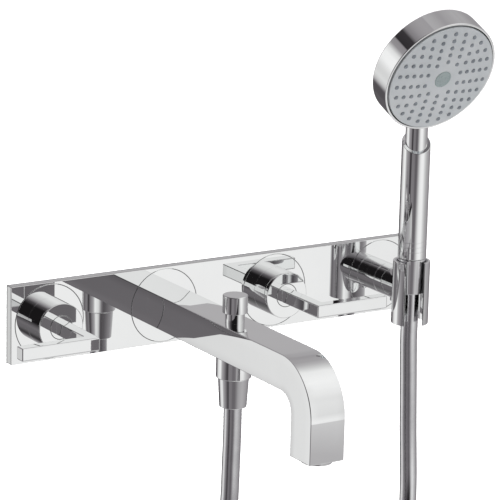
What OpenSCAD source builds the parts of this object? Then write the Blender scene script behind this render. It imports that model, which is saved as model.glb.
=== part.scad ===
// Wall mounted bath faucet: two lever valves, a square spout with a diverter,
// and a hand shower on a hose in a swivelling holder, all on one back plate.
// Frame: X along the plate, +Y into the wall, Z up, origin at the middle of the
// plate's wall side. Lengths that run out from the wall are given as distances.

/* [Plate] */
// Distance from an outer axis to the end of the plate
end_margin = 33; // [32:1:50]
// Height of the back plate
plate_h = 62; // [62:1:80]
// Distance from the wall to the plate's front
plate_depth = 8; // [8:0.5:12]
// Distance between neighbouring axes on the plate
pitch = 102; // [95:1:122]
// Thickness of the cover's front
front_t = 1.5; // [1.2:0.1:2]
// Thickness of the cover's rim
rim_t = 2.5; // [2:0.1:2.6]
// Thickness of the gasket against the wall
gasket_t = 1; // [0.5:0.1:1.5]
// Radius of the four flush rosettes
rosette_r = 29.5; // [24:0.5:29.5]
// Radius of the wall screw holes
wall_hole_r = 2.75; // [2.25:0.25:3.25]
// Height between the wall screw holes
wall_hole_rise = 40; // [38:1:42]

/* [Handles] */
// Outer radius of a handle sleeve
sleeve_r = 18.85; // [17.5:0.05:22.5]
// Length of a handle sleeve in front of the plate
sleeve_len = 19.3; // [18:0.1:25]
// Wall thickness of a handle sleeve
sleeve_wall = 2; // [1.5:0.1:2.5]
// Radius of the turning hub
hub_r = 9.3; // [8:0.1:10.5]
// Distance from the wall to the front of the lever
lever_reach = 80.5; // [65:0.5:100]
// Width of the lever bar
lever_w = 9.2; // [8:0.1:11]
// Height of the lever bar
lever_h = 10; // [8:0.5:12]
// Distance from the turning axis to the end of the lever
lever_span = 61; // [45:1:73]

/* [Valves] */
// Outer radius of the valve body in front of the manifold
valve_r = 13.5; // [13.2:0.1:14]
// Radius of the cartridge chamber
chamber_r = 11; // [10.5:0.1:11.2]
// Radius of the ceramic discs
disc_r = 8.8; // [8:0.1:9]
// Thickness of a ceramic disc
disc_t = 2.5; // [2:0.1:3]
// Radius of the spindle
spindle_r = 4; // [3.5:0.1:4.5]
// Radius of the threaded inlet tail, G 1/2
tail_r = 10.45; // [10.4:0.01:10.5]
// Length of the threaded inlet tail behind the wall face
tail_len = 14; // [12:1:20]

/* [Spout] */
// Width of the spout
spout_w = 30; // [30:0.5:36]
// Height of the spout
spout_h = 27.5; // [27.5:0.5:33]
// Distance from the wall to the front of the spout
spout_reach = 245.5; // [205:0.5:300]
// Depth of the spout's outlet below its axis
spout_drop = 60; // [52:1:80]
// Inner radius of the spout's bend
bend_r = 15; // [12:1:18]
// Wall thickness of the spout
spout_wall = 2.5; // [2:0.1:2.5]
// Radius of the aerator housing
aerator_r = 11.8; // [11:0.1:11.8]

/* [Diverter] */
// Distance from the wall to the diverter axis
diverter_out = 114; // [80:1:140]
// Travel of the diverter knob
diverter_travel = 8; // [6:0.5:8]
// Radius of the diverter knob
knob_r = 9.7; // [8.5:0.1:12]
// Height of the diverter knob
knob_h = 13.8; // [12:0.1:17]
// Radius of the collar under the knob
collar_r = 7.5; // [7:0.1:8]
// Height of the collar under the knob
collar_h = 7.2; // [6:0.1:9]

/* [Hose connections] */
// Radius of the outlet collar under the spout
outlet_r = 13.6; // [13:0.1:14.5]
// Depth of the outlet collar's lower face below the spout axis
outlet_low = 29.7; // [28:0.1:31]
// Radius of the lower hose nut at its top
nut_top_r = 11.9; // [11.7:0.1:13]
// Radius of the lower hose nut at its end
nut_end_r = 10.5; // [10:0.1:11]
// Diameter of the hose
hose_d = 14; // [12:0.5:14]

/* [Holder] */
// Radius of the holder arm
arm_r = 13; // [12.5:0.1:14]
// Length of the fixed base in front of the plate
base_len = 11.6; // [9:0.1:13]
// Thickness of the friction ring
ring_t = 0.8; // [0.5:0.1:1]
// Outer radius of the clip
clip_r = 15.1; // [15:0.1:16.5]
// Wall thickness of the clip
clip_wall = 2.2; // [1.8:0.1:2.2]
// Height of the clip's top above the axis
clip_top = 23.6; // [20:0.1:23.6]
// Depth of the clip's bottom below the axis
clip_low = 28.5; // [24:0.5:34]
// Width of the slot that lets the hose in
slot_w = 15; // [14.8:0.1:16]
// Turn of the slot from straight out towards the spout
slot_turn = 20; // [0:1:30]

/* [Hand shower] */
// Radius of the grip
grip_r = 11.6; // [11.2:0.1:13.5]
// Height of the grip's lower end above the holder axis
grip_low = 26; // [25:0.5:28]
// Height of the grip's slanted top on its axis
grip_top = 121; // [102:1:122]
// Slant of the grip's top
grip_slant = 31; // [0:1:45]
// Radius of the neck
neck_r = 9; // [8:0.1:9.5]
// Radius of the head
head_r = 50; // [42:1:60]
// Depth of the head
head_depth = 21; // [18:0.5:24]
// Height of the face's centre above the holder axis
face_up = 179.5; // [178:0.5:185]
// Distance of the face's centre in front of the grip's axis
face_out = 29.4; // [27:0.1:31]
// Tilt of the face down from straight out
face_tilt = 24; // [15:1:30]
// How far the middle of the domed face stands in front of the rim
dome_h = 3.6; // [2.5:0.1:4.5]
// How far the edge of the domed face stands in front of the rim
dome_edge = 1.3; // [0.8:0.1:2]
// Number of rings of nozzles
nozzle_rings = 5; // [3:1:5]
// Number of nozzles in the innermost ring
nozzle_first = 10; // [8:1:10]

/* [Hidden] */
$fn = 64;

chrome = [0.80, 0.81, 0.83];
brass = [0.78, 0.62, 0.32];
steel = [0.62, 0.63, 0.65];
rubber = [0.12, 0.12, 0.13];
ceramic = [0.92, 0.90, 0.86];
plastic = [0.86, 0.87, 0.88];
face_grey = [0.74, 0.77, 0.79];

plate_w = 3 * pitch + 2 * end_margin;
// The hose's route starts and ends at these two, so they stay as they are
nut_low = 53;         // depth of the lower hose nut's end below the spout axis
holder_out = 54;      // distance from the wall to the holder's axis

past = 1;             // how far a cut runs past what it cuts
fit = 0.1;            // clearance between pieces that are fixed to each other
run = 0.08;           // radial clearance of a turning or sliding fit
free = 0.4;           // clearance between pieces that move past each other
edge = 0.4;           // chamfer on visible round edges

left_x = -1.5 * pitch;
spout_x = -0.5 * pitch;
right_x = 0.5 * pitch;
holder_x = 1.5 * pitch;

// Distances from the wall, from the plate outwards
body_front = plate_depth - front_t;
channel_back = 2;
channel_front = body_front - 1.5;
channel_half = 12;
sleeve_front = plate_depth + sleeve_len;
sleeve_web = 2.5;
seat_floor = plate_depth + 1;
seal_t = 1;
fixed_disc_back = seat_floor + seal_t;
moving_disc_back = fixed_disc_back + disc_t;
spindle_back = moving_disc_back + disc_t;
flange_t = 1.8;
flange_r = 7;
cartridge_front = spindle_back + 5.5;
cartridge_nut_t = 2.6;
chamber_front = cartridge_front + cartridge_nut_t;
hub_back = chamber_front + free;
spindle_front = sleeve_front - 1.2;
inlet_r = 4.5;
ported_r = 9.5;
neck_of_body_r = 11.9;
body_flange_r = 15;
rosette_hole_r = body_flange_r + 3 * fit;
nipple_r = 9.9;
nipple_bore_r = 7.5;
nipple_len = 15;

module out(x, from_wall) {
  // carries a shape drawn up +Z to a horizontal one that runs out from the wall
  translate([x, -from_wall, 0]) rotate([90, 0, 0]) children();
}

module ring(r_out, r_in, h) {
  difference() {
    cylinder(r = r_out, h = h);
    translate([0, 0, -past]) cylinder(r = r_in, h = h + 2 * past);
  }
}

module soft_rod(r, h, low_edge, top_edge) {
  // a solid rod with chamfered ends
  rotate_extrude() polygon([
    [0, 0], [r - low_edge, 0], [r, low_edge],
    [r, h - top_edge], [r - top_edge, h], [0, h]]);
}

// ---------- plate ----------

module cover_plate() color(chrome) {
  inner_w = plate_w - 2 * rim_t;
  inner_h = plate_h - 2 * rim_t;
  difference() {
    translate([-plate_w / 2, -plate_depth, -plate_h / 2])
      cube([plate_w, plate_depth - gasket_t, plate_h]);
    translate([-inner_w / 2, -body_front, -inner_h / 2])
      cube([inner_w, body_front + past, inner_h]);
    for (x = [left_x, spout_x, right_x, holder_x])
      out(x, body_front) cylinder(r = rosette_r + fit, h = front_t + past);
  }
}

module plate_gasket() color(rubber) {
  inner_w = plate_w - 2 * rim_t;
  inner_h = plate_h - 2 * rim_t;
  difference() {
    translate([-plate_w / 2, -gasket_t, -plate_h / 2]) cube([plate_w, gasket_t, plate_h]);
    translate([-inner_w / 2, -gasket_t - past, -inner_h / 2])
      cube([inner_w, gasket_t + 2 * past, inner_h]);
  }
}

module wall_hole(x) {
  head_r = 2 * wall_hole_r;
  head_t = 3;
  for (side = [-1, 1]) translate([0, 0, side * wall_hole_rise / 2]) {
    out(x, -past) cylinder(r = wall_hole_r, h = body_front + 2 * past);
    out(x, body_front - head_t) cylinder(r = head_r, h = head_t + past);
  }
}

backing_h = plate_h - 2 * rim_t - 2 * fit;
backing_end = plate_w / 2 - rim_t - fit;
manifold_end = right_x + 31;
bracket_start = manifold_end + 4;

module manifold_body() color(brass) {
  difference() {
    union() {
      translate([-backing_end, -body_front, -backing_h / 2])
        cube([backing_end + manifold_end, body_front, backing_h]);
      out(spout_x, body_front) cylinder(r = nipple_r, h = nipple_len);
    }
    translate([left_x, -channel_front, -channel_half])
      cube([right_x - left_x, channel_front - channel_back, 2 * channel_half]);
    for (x = [left_x, right_x])
      out(x, -past) cylinder(r = neck_of_body_r + fit, h = body_front + 2 * past);
    out(spout_x, channel_back + past)
      cylinder(r = nipple_bore_r, h = body_front + nipple_len);
    wall_hole(-pitch);
  }
}

module wall_bracket() color(steel) difference() {
  translate([bracket_start, -body_front, -backing_h / 2])
    cube([backing_end - bracket_start, body_front, backing_h]);
  out(holder_x, -past) cylinder(r = bolt_r + fit, h = body_front + 2 * past);
  wall_hole(pitch);
}

module rosette(x, hole_r) color(chrome) out(x, body_front) ring(rosette_r, hole_r, front_t);

module left_rosette() rosette(left_x, rosette_hole_r);
module right_rosette() rosette(right_x, rosette_hole_r);
module spout_rosette() rosette(spout_x, nipple_r + fit);
module holder_rosette() rosette(holder_x, bolt_r + fit);

// ---------- valves ----------

module valve_body(x) color(brass) {
  port_w = 5;
  difference() {
    union() {
      out(x, -tail_len) cylinder(r = tail_r, h = tail_len + past);
      out(x, 0) cylinder(r = neck_of_body_r, h = plate_depth);
      out(x, body_front) cylinder(r = body_flange_r, h = 3.5);
      out(x, plate_depth) cylinder(r = valve_r, h = chamber_front - plate_depth);
    }
    out(x, -tail_len - past) cylinder(r = inlet_r, h = tail_len + seat_floor + 2 * past);
    out(x, seat_floor) cylinder(r = chamber_r, h = chamber_front);
    out(x, channel_back) ring(ported_r, ported_r - 3, seat_floor);
    for (turn = [0 : 90 : 270]) out(x, channel_back) rotate(turn)
      translate([ported_r - past, -port_w / 2, 0])
        cube([neck_of_body_r, port_w, channel_front - channel_back]);
  }
}

module left_valve_body() valve_body(left_x);
module right_valve_body() valve_body(right_x);

module cartridge_body(x) color(plastic) difference() {
  out(x, seat_floor)
    ring(chamber_r - fit, spindle_r + run, cartridge_front - seat_floor);
  out(x, seat_floor - past) cylinder(r = disc_r + free, h = spindle_back - seat_floor + past);
  out(x, spindle_back - past) cylinder(r = flange_r + free, h = flange_t + free + past);
}

module left_cartridge_body() cartridge_body(left_x);
module right_cartridge_body() cartridge_body(right_x);

module valve_seals() color(rubber) for (x = [left_x, right_x])
  out(x, seat_floor) ring(6, inlet_r, seal_t);

disc_port_r = 2;
disc_port_out = 5.5;

module disc_ports(h) for (side = [-1, 1])
  translate([side * disc_port_out, 0, -past]) cylinder(r = disc_port_r, h = h);

module ceramic_fixed_discs() color(ceramic) for (x = [left_x, right_x])
  out(x, fixed_disc_back) difference() {
    cylinder(r = disc_r, h = disc_t);
    disc_ports(disc_t + 2 * past);
  }

tang_w = 3;
tang_l = 8;
tang_t = 1.2;

module ceramic_disc(x) color(ceramic) out(x, moving_disc_back) difference() {
  cylinder(r = disc_r, h = disc_t);
  rotate(90) disc_ports(disc_t + 2 * past);
  translate([-tang_l / 2 - fit, -tang_w / 2 - fit, disc_t - tang_t - fit])
    cube([tang_l + 2 * fit, tang_w + 2 * fit, tang_t + past]);
}

module left_ceramic_disc() ceramic_disc(left_x);
module right_ceramic_disc() ceramic_disc(right_x);

module spindle(x) color(brass) out(x, spindle_back) {
  cylinder(r = spindle_r, h = spindle_front - spindle_back);
  cylinder(r = flange_r, h = flange_t);
  translate([-tang_l / 2, -tang_w / 2, -tang_t]) cube([tang_l, tang_w, tang_t + past]);
}

module left_spindle() spindle(left_x);
module right_spindle() spindle(right_x);

module cartridge_nuts() color(brass) for (x = [left_x, right_x])
  out(x, cartridge_front) difference() {
    cylinder(r = chamber_r - fit, h = cartridge_nut_t);
    translate([0, 0, -past]) cylinder(r = spindle_r + free, h = cartridge_nut_t);
    translate([0, 0, cartridge_nut_t - 1.6]) cylinder(r = 8, h = 2 * past, $fn = 6);
  }

grub_r = 2;
grub_out = plate_depth + 6;

module handle_sleeve(x) color(chrome) difference() {
  out(x, plate_depth) soft_rod(sleeve_r, sleeve_len, 0, edge);
  out(x, plate_depth - past)
    cylinder(r = sleeve_r - sleeve_wall, h = sleeve_len - sleeve_web + past);
  out(x, plate_depth) cylinder(r = hub_r + run, h = sleeve_len + past);
  translate([x, -grub_out, -sleeve_r - past]) cylinder(r = grub_r + fit, h = sleeve_r);
}

module left_handle_sleeve() handle_sleeve(left_x);
module right_handle_sleeve() handle_sleeve(right_x);

module grub(x, from_wall, low, top) {
  // a socket set screw that stands upright with its socket down
  socket_r = 1.2;
  translate([x, -from_wall, low]) difference() {
    cylinder(r = grub_r, h = top - low);
    translate([0, 0, -past]) cylinder(r = socket_r, h = 1.5 + past, $fn = 6);
  }
}

spout_grub_out = plate_depth + 8;

module grub_screws() color(steel) {
  recess = 0.4;
  for (x = [left_x, right_x]) grub(x, grub_out, recess - sleeve_r, -valve_r - fit);
  grub(spout_x, spout_grub_out, recess - spout_h / 2, -nipple_r - fit);
}

// ---------- levers ----------

module lever_hub(x) color(chrome) difference() {
  out(x, hub_back) cylinder(r = hub_r, h = sleeve_front - hub_back);
  out(x, hub_back - past)
    cylinder(r = spindle_r + fit, h = spindle_front - hub_back + past);
}

module left_lever_hub() lever_hub(left_x);
module right_lever_hub() lever_hub(right_x);

module lever_bar(x, way) color(chrome) {
  // the bar runs out from the hub, then turns away along the plate
  translate([x - lever_w / 2, -lever_reach, -lever_h / 2])
    cube([lever_w, lever_reach - sleeve_front, lever_h]);
  translate([x + (way > 0 ? -lever_w / 2 : -lever_span), -lever_reach, -lever_h / 2])
    cube([lever_span + lever_w / 2, lever_w, lever_h]);
}

module left_lever_bar() lever_bar(left_x, -1);
module right_lever_bar() lever_bar(right_x, 1);

// ---------- spout ----------

half_h = spout_h / 2;
bend_centre_out = spout_reach - spout_h - bend_r;
bend_centre_low = half_h + bend_r;

module spout_outline(inset, back, tip) {
  // side view: first coordinate is the distance from the wall, second is the height
  outer = bend_r + spout_h - inset;
  inner = bend_r + inset;
  translate([back, inset - half_h]) square([bend_centre_out - back, spout_h - 2 * inset]);
  translate([bend_centre_out, -bend_centre_low]) intersection() {
    difference() {
      circle(r = outer, $fn = 128);
      circle(r = inner, $fn = 96);
    }
    square(outer + past);
  }
  translate([spout_reach - spout_h + inset, tip])
    square([spout_h - 2 * inset, -bend_centre_low - tip]);
}

module spout_slab(w, inset, back, tip) {
  // the outline laid in the plane across X and given a width
  translate([spout_x + w / 2, 0, 0]) rotate([90, 0, -90])
    linear_extrude(w) spout_outline(inset, back, tip);
}

aerator_out = spout_reach - half_h;
aerator_seat = -spout_drop + 8;
tip_block = aerator_seat + 4;
back_wall = 3;
diverter_port_r = 6.5;
collar_spigot_r = 5.9;

module spout_body() color(chrome) difference() {
  spout_slab(spout_w, 0, plate_depth, -spout_drop);
  spout_slab(spout_w - 2 * spout_wall, spout_wall, plate_depth + back_wall, tip_block);
  out(spout_x, plate_depth - past) cylinder(r = nipple_r + fit, h = back_wall + 2 * past);
  translate([spout_x, -aerator_out, -spout_drop - past])
    cylinder(r = aerator_r + fit, h = aerator_seat + spout_drop + past);
  translate([spout_x, -aerator_out, aerator_seat - past])
    cylinder(r = 9, h = tip_block - aerator_seat + 2 * past);
  translate([spout_x, -diverter_out, -half_h - past])
    cylinder(r = diverter_port_r, h = spout_wall + 2 * past);
  translate([spout_x, -diverter_out, half_h - spout_wall - past])
    cylinder(r = collar_spigot_r + fit, h = spout_wall + 2 * past);
  translate([spout_x, -spout_grub_out, -half_h - past])
    cylinder(r = grub_r + fit, h = spout_wall + 2 * past);
}

aerator_show = 2.5;
aerator_lip = 1;
aerator_wall = 1.8;
washer_t = 2;

module aerator_housing() color(chrome) translate([spout_x, -aerator_out, 0]) {
  low = -spout_drop - aerator_show;
  translate([0, 0, low]) ring(aerator_r, aerator_r - aerator_wall, aerator_seat - low);
  translate([0, 0, low]) ring(aerator_r - aerator_wall + fit, 8.5, aerator_lip);
}

module aerator_insert() color(plastic) {
  low = -spout_drop - aerator_show + aerator_lip;
  r = aerator_r - aerator_wall - fit;
  translate([spout_x, -aerator_out, low]) difference() {
    cylinder(r = r, h = aerator_seat - washer_t - low);
    for (row = [1, 2]) for (k = [0 : 6 * row - 1]) rotate(k * 60 / row)
      translate([row * 3.2, 0, -past]) cylinder(r = 0.8, h = spout_drop, $fn = 16);
  }
}

module aerator_washer() color(rubber)
  translate([spout_x, -aerator_out, aerator_seat - washer_t])
    ring(aerator_r - aerator_wall - fit, 7.5, washer_t);

// ---------- diverter ----------

module at_diverter(z) translate([spout_x, -diverter_out, z]) children();

cavity_half = half_h - spout_wall;
piston_r = 8.5;
piston_bore_r = piston_r + run;
seal_h = 2;
piston_h = 5;
rod_r = 2.5;
passage_r = 3.8;
passage_up = -0.75;
cell_top = cavity_half - 3;
collar_top = half_h + collar_h;
knob_low = collar_top + 0.1;
rod_top = knob_low + knob_h - 4;

module diverter_body() color(brass) difference() {
  long = 24;
  wide = spout_w - 2 * spout_wall - 2 * fit;
  at_diverter(-cavity_half) translate([-wide / 2, -long / 2, 0])
    cube([wide, long, 2 * cavity_half]);
  at_diverter(-cavity_half - past) cylinder(r = piston_bore_r, h = cavity_half + cell_top + past);
  at_diverter(0) cylinder(r = rod_r + run, h = half_h);
  translate([0, 0, passage_up]) out(spout_x, diverter_out - long)
    cylinder(r = passage_r, h = 2 * long);
}

module diverter_collar() color(chrome) difference() {
  union() {
    at_diverter(half_h) soft_rod(collar_r, collar_h, 0, edge);
    at_diverter(cavity_half) cylinder(r = collar_spigot_r, h = spout_wall + past);
  }
  at_diverter(0) cylinder(r = rod_r + run, h = 2 * half_h + collar_h);
}

module diverter_knob() color(chrome) difference() {
  at_diverter(knob_low) soft_rod(knob_r, knob_h, edge, 2 * edge);
  at_diverter(knob_low - past) cylinder(r = rod_r + fit, h = rod_top - knob_low + past);
}

module diverter_rod() color(steel)
  at_diverter(piston_h - cavity_half) cylinder(r = rod_r, h = rod_top - piston_h + cavity_half);

module diverter_piston() {
  color(rubber) at_diverter(-cavity_half) cylinder(r = piston_r, h = seal_h);
  color(brass) at_diverter(seal_h - cavity_half) cylinder(r = piston_r - fit, h = piston_h - seal_h);
}

// A tube swept along points: ref is any direction that the path never follows
function unit(v) = v / norm(v);
function heading(p, i) =
  unit(p[min(i + 1, len(p) - 1)] - p[max(i - 1, 0)]);
function side_of(p, i, ref) = unit(cross(heading(p, i), ref));

module swept_tube(p, r, ref, sides) {
  count = len(p);
  rings = [for (i = [0 : count - 1]) for (k = [0 : sides - 1])
    let (t = heading(p, i), u = side_of(p, i, ref), v = cross(u, t), a = 360 * k / sides)
      p[i] + r * (cos(a) * u + sin(a) * v)];
  walls = [for (i = [0 : count - 2]) for (k = [0 : sides - 1])
    let (n = (k + 1) % sides)
      [i * sides + k, i * sides + n, (i + 1) * sides + n, (i + 1) * sides + k]];
  start = [for (k = [sides - 1 : -1 : 0]) k];
  end = [for (k = [0 : sides - 1]) (count - 1) * sides + k];
  polyhedron(points = rings, faces = concat([start], walls, [end]), convexity = 10);
}

spring_r = 5;
spring_wire_r = 0.6;
spring_turns = 5;

module diverter_spring() color(steel) {
  low = piston_h - cavity_half + spring_wire_r + 0.05;
  high = cell_top - spring_wire_r - 0.05;
  steps = 16;
  coil = [for (k = [0 : spring_turns * steps])
    [spring_r * cos(360 * k / steps), spring_r * sin(360 * k / steps),
     low + (high - low) * k / (spring_turns * steps)]];
  at_diverter(0) swept_tube(coil, spring_wire_r, [0, 0, 1], 8);
}

// ---------- hose connection under the spout ----------

thread_r = 10;
thread_low = outlet_low + 12;
outlet_bore_r = 7;
flat_t = 1.5;
ferrule_t = 3;
stem_r = 6.6;

module shower_outlet() color(chrome) difference() {
  union() {
    at_diverter(-outlet_low) soft_rod(outlet_r, outlet_low - half_h, edge, 0);
    at_diverter(-thread_low) cylinder(r = thread_r, h = thread_low - half_h);
  }
  at_diverter(-thread_low - past) cylinder(r = outlet_bore_r, h = thread_low);
}

module check_valve() color(plastic) at_diverter(-thread_low)
  ring(outlet_bore_r - fit, 3.5, 12);

module lower_hose_washer() color(rubber) at_diverter(-thread_low - flat_t)
  ring(thread_r - 1, 5, flat_t);

module lower_hose_ferrule() color(brass) difference() {
  union() {
    at_diverter(-thread_low - flat_t - ferrule_t) cylinder(r = thread_r - 0.5, h = ferrule_t);
    at_diverter(-nut_low) cylinder(r = stem_r, h = nut_low - thread_low - flat_t);
  }
  at_diverter(-nut_low - past) cylinder(r = 4.5, h = nut_low);
}

module lower_hose_nut() color(chrome) difference() {
  top = -outlet_low - free;
  at_diverter(-nut_low) rotate_extrude() polygon([
    [0, 0], [nut_end_r - edge, 0], [nut_end_r, edge],
    [nut_top_r, nut_low + top], [0, nut_low + top]]);
  at_diverter(-thread_low - flat_t - ferrule_t)
    cylinder(r = thread_r + fit, h = thread_low + flat_t + ferrule_t);
  at_diverter(-nut_low - past) cylinder(r = stem_r + fit, h = nut_low);
}

// ---------- hose ----------

// Route of the free left run, from the nut down to where the coil starts
left_route = [
  [-51, -114, -53], [-51, -114, -75], [-51.5, -114, -100], [-52, -114, -125],
  [-53, -113, -150], [-53, -111, -175], [-51, -108, -200], [-45, -104, -225],
  [-37, -100, -245], [-29, -97, -266], [-24.5, -95.5, -282], [-23, -95, -297]];
// Route of the free right run, from where the coil ends up to the cone nut
right_route = [
  [127, -72, -297], [128.5, -71.5, -282], [133, -70, -266], [141, -67, -243],
  [149, -63, -220], [154.5, -59, -195], [157, -56, -170], [157, -54.5, -145],
  [156, -54, -120], [155, -54, -95], [154, -54, -70], [153, -54, -45],
  [153, -54, -25], [153, -54, -3]];
coil_centre = [52, -83.5, -297];
coil_r = 75;
coil_spread = 23;

module hose_left() color(steel) swept_tube(left_route, hose_d / 2, [0, 1, 0], 12);
module hose_right() color(steel) swept_tube(right_route, hose_d / 2, [0, 1, 0], 12);

module coil_section(grow) {
  for (side = [-1, 1]) translate([coil_r, side * coil_spread / 2]) circle(r = hose_d / 2 + grow);
  translate([coil_r - hose_d / 2 - grow, -coil_spread / 2])
    square([hose_d + 2 * grow, coil_spread]);
}

module hose_coil() color(steel) translate(coil_centre) rotate([90, 0, 0])
  rotate_extrude($fn = 96) coil_section(0);

tie_t = 1.2;

module hose_tie() color(rubber) translate(coil_centre) rotate([90, 0, 0]) rotate(-95)
  rotate_extrude(angle = 10, $fn = 96) difference() {
    coil_section(tie_t);
    coil_section(0);
  }

// ---------- holder ----------

bolt_r = 4;
bolt_head_r = 6.5;
bolt_head_t = 4;
bolt_back = 1;
arm_back = plate_depth + base_len + ring_t;
arm_web = 8;
clip_bore_r = clip_r - clip_wall;
ledge_top = -3;
ledge_t = 3;

module at_holder(z) translate([holder_x, -holder_out, z]) children();

module holder_base() color(chrome) out(holder_x, plate_depth) difference() {
  cylinder(r = arm_r, h = base_len);
  translate([0, 0, -past]) cylinder(r = bolt_r + fit, h = base_len + 2 * past);
}

module holder_friction_ring() color(plastic) out(holder_x, plate_depth + base_len)
  ring(arm_r - 0.5, bolt_r + fit, ring_t);

module holder_bolt() color(steel) difference() {
  union() {
    out(holder_x, bolt_back) cylinder(r = bolt_r, h = arm_back + arm_web - bolt_back);
    out(holder_x, arm_back + arm_web) cylinder(r = bolt_head_r, h = bolt_head_t);
  }
  out(holder_x, arm_back + arm_web + past)
    cylinder(r = 3, h = bolt_head_t, $fn = 6);
}

lock_out = arm_back + arm_web + bolt_head_t / 2;
lock_r = 2.4;

module holder_arm() color(chrome) difference() {
  out(holder_x, arm_back) cylinder(r = arm_r, h = holder_out - arm_back);
  at_holder(-arm_r - past) cylinder(r = clip_r, h = 2 * (arm_r + past));
  out(holder_x, arm_back - past) cylinder(r = bolt_r + run, h = arm_web + 2 * past);
  out(holder_x, arm_back + arm_web) cylinder(r = bolt_head_r + free, h = holder_out);
  translate([holder_x, -lock_out, -arm_r - past]) cylinder(r = lock_r + fit, h = arm_r - 5);
}

module slot_cut(low, high, w) at_holder(low) rotate(-slot_turn)
  translate([-w / 2, -2 * clip_r, 0]) cube([w, 2 * clip_r, high - low]);

module holder_clip() color(chrome) difference() {
  at_holder(-clip_low) ring(clip_r, clip_bore_r, clip_top + clip_low);
  slot_cut(-clip_low - past, clip_top + past, slot_w);
  out(holder_x, arm_back + arm_web)
    cylinder(r = bolt_head_r + free, h = holder_out - arm_back - arm_web);
}

liner_bore_r = 11.6;

module holder_liner() color(plastic) difference() {
  union() {
    at_holder(ledge_top - ledge_t)
      ring(clip_bore_r - fit, liner_bore_r, clip_top - ledge_top + ledge_t);
    at_holder(ledge_top - ledge_t) ring(clip_bore_r - 2 * fit, hose_d / 2 + 0.6, ledge_t);
  }
  slot_cut(ledge_top - ledge_t - past, clip_top + past, slot_w);
}

module holder_lock_screw() color(chrome) translate([holder_x, -lock_out, 0]) {
  head_r = 3;
  top = -bolt_head_r - free;
  translate([0, 0, -arm_r]) cylinder(r = lock_r, h = top + arm_r);
  translate([0, 0, -arm_r - 3]) soft_rod(head_r, 3, edge, 0);
}

// ---------- hand shower ----------

cone_top_r = 11.2;
cone_low_r = 10.2;
cone_top = grip_low - 0.3;
bead_r = 8;
bead_h = 4;

module upper_cone_nut() color(chrome) difference() {
  union() {
    at_holder(ledge_top) rotate_extrude() polygon([
      [0, 0], [cone_low_r - edge, 0], [cone_low_r, edge],
      [cone_top_r, cone_top - ledge_top], [0, cone_top - ledge_top]]);
    at_holder(cone_top - past) cylinder(r = bead_r, h = bead_h + past);
  }
  at_holder(ledge_top + 3) cylinder(r = 5, h = cone_top + bead_h);
}

module upper_hose_washer() color(rubber) at_holder(cone_top + bead_h)
  ring(bead_r - 0.5, 5, flat_t);

neck_low = cone_top + bead_h + flat_t;
neck_bore_r = 6;
grip_wall_r = neck_r + fit;
slant_turn = 24;      // how far the slanted top's low side is turned to the left
// unit vector of the spray and the centre of the face
spray = [0, -cos(face_tilt), -sin(face_tilt)];
face_centre = [holder_x, -holder_out - face_out, face_up];
neck_top = face_up;
neck_gap = 5;

module at_face(depth) {
  // +Z of the children points back into the head, away from the spray
  translate(face_centre - depth * spray) rotate([face_tilt, 0, 0]) rotate([-90, 0, 0]) children();
}

module shower_grip() color(chrome) difference() {
  at_holder(grip_low) soft_rod(grip_r, grip_top + grip_r - grip_low, edge, 0);
  at_holder(grip_low - past) cylinder(r = bead_r + free, h = neck_low - grip_low + 2 * past);
  at_holder(neck_low) cylinder(r = grip_wall_r, h = grip_top + grip_r);
  at_holder(grip_top) rotate([0, 0, -slant_turn]) rotate([grip_slant, 0, 0])
    translate([-3 * grip_r, -3 * grip_r, 0]) cube([6 * grip_r, 6 * grip_r, 6 * grip_r]);
  for (k = [0 : 2]) at_holder(grip_low + 6 + 4 * k) ring(grip_r + past, grip_r - 0.3, 0.6);
}

module shower_neck() color(chrome) difference() {
  at_holder(neck_low) cylinder(r = neck_r, h = neck_top - neck_low);
  at_holder(neck_low - past) cylinder(r = neck_bore_r, h = neck_top);
  at_face(-head_depth) cylinder(r = head_r + past, h = head_depth + neck_gap);
  at_face(head_depth - shell_t) cylinder(r = 2 * head_r, h = head_depth);
}

shell_t = 2;
rim_w = 2.5;

module head_shell() color(chrome) difference() {
  at_face(0) soft_rod(head_r, head_depth, edge, 1.2);
  at_face(-past) cylinder(r = head_r - rim_w, h = head_depth - shell_t + past);
  intersection() {
    at_holder(neck_low) cylinder(r = grip_wall_r, h = neck_top - neck_low);
    at_face(-past) cylinder(r = 2 * head_r, h = head_depth - shell_t + past);
  }
}

nozzle_r = 1.6;
nozzle_proud = 0.4;
nozzle_inner = 16.15;
nozzle_step = 6.3;
nozzle_more = 4;      // how many more nozzles each next ring has
mat_t = 1;
face_r = head_r - rim_w - fit;
mat_depth = 3.1;      // depth of the front of the nozzle mat behind the rim
dome_rise = dome_h - dome_edge;
dome_r = (face_r * face_r + dome_rise * dome_rise) / (2 * dome_rise);

function dome_at(r) = dome_h - dome_r + sqrt(dome_r * dome_r - r * r);

module spray_face() color(face_grey) difference() {
  // a slightly domed disc
  at_face(0) intersection() {
    translate([0, 0, -dome_h]) cylinder(r = face_r, h = dome_h + mat_depth);
    translate([0, 0, dome_r - dome_h]) sphere(r = dome_r, $fn = 256);
  }
  at_face(0) nozzle_rods(nozzle_r + fit, past, mat_depth + past);
  // flat seat for the cap
  at_face(-dome_h - past) cylinder(r = cap_r, h = dome_h + past - dome_at(cap_r));
}

module nozzle_rods(r, proud, depth) {
  // rings of pins round the middle of the face, each ring with more pins than the last,
  // from `proud` in front of the dome to `depth` behind the rim
  for (k = [0 : nozzle_rings - 1])
    let (count = nozzle_first + nozzle_more * k, out = nozzle_inner + nozzle_step * k,
         top = dome_at(out) + proud)
      for (i = [0 : count - 1]) rotate(360 * (i + 0.5) / count)
        translate([out, 0, -top]) cylinder(r = r, h = top + depth, $fn = 16);
}

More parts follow.
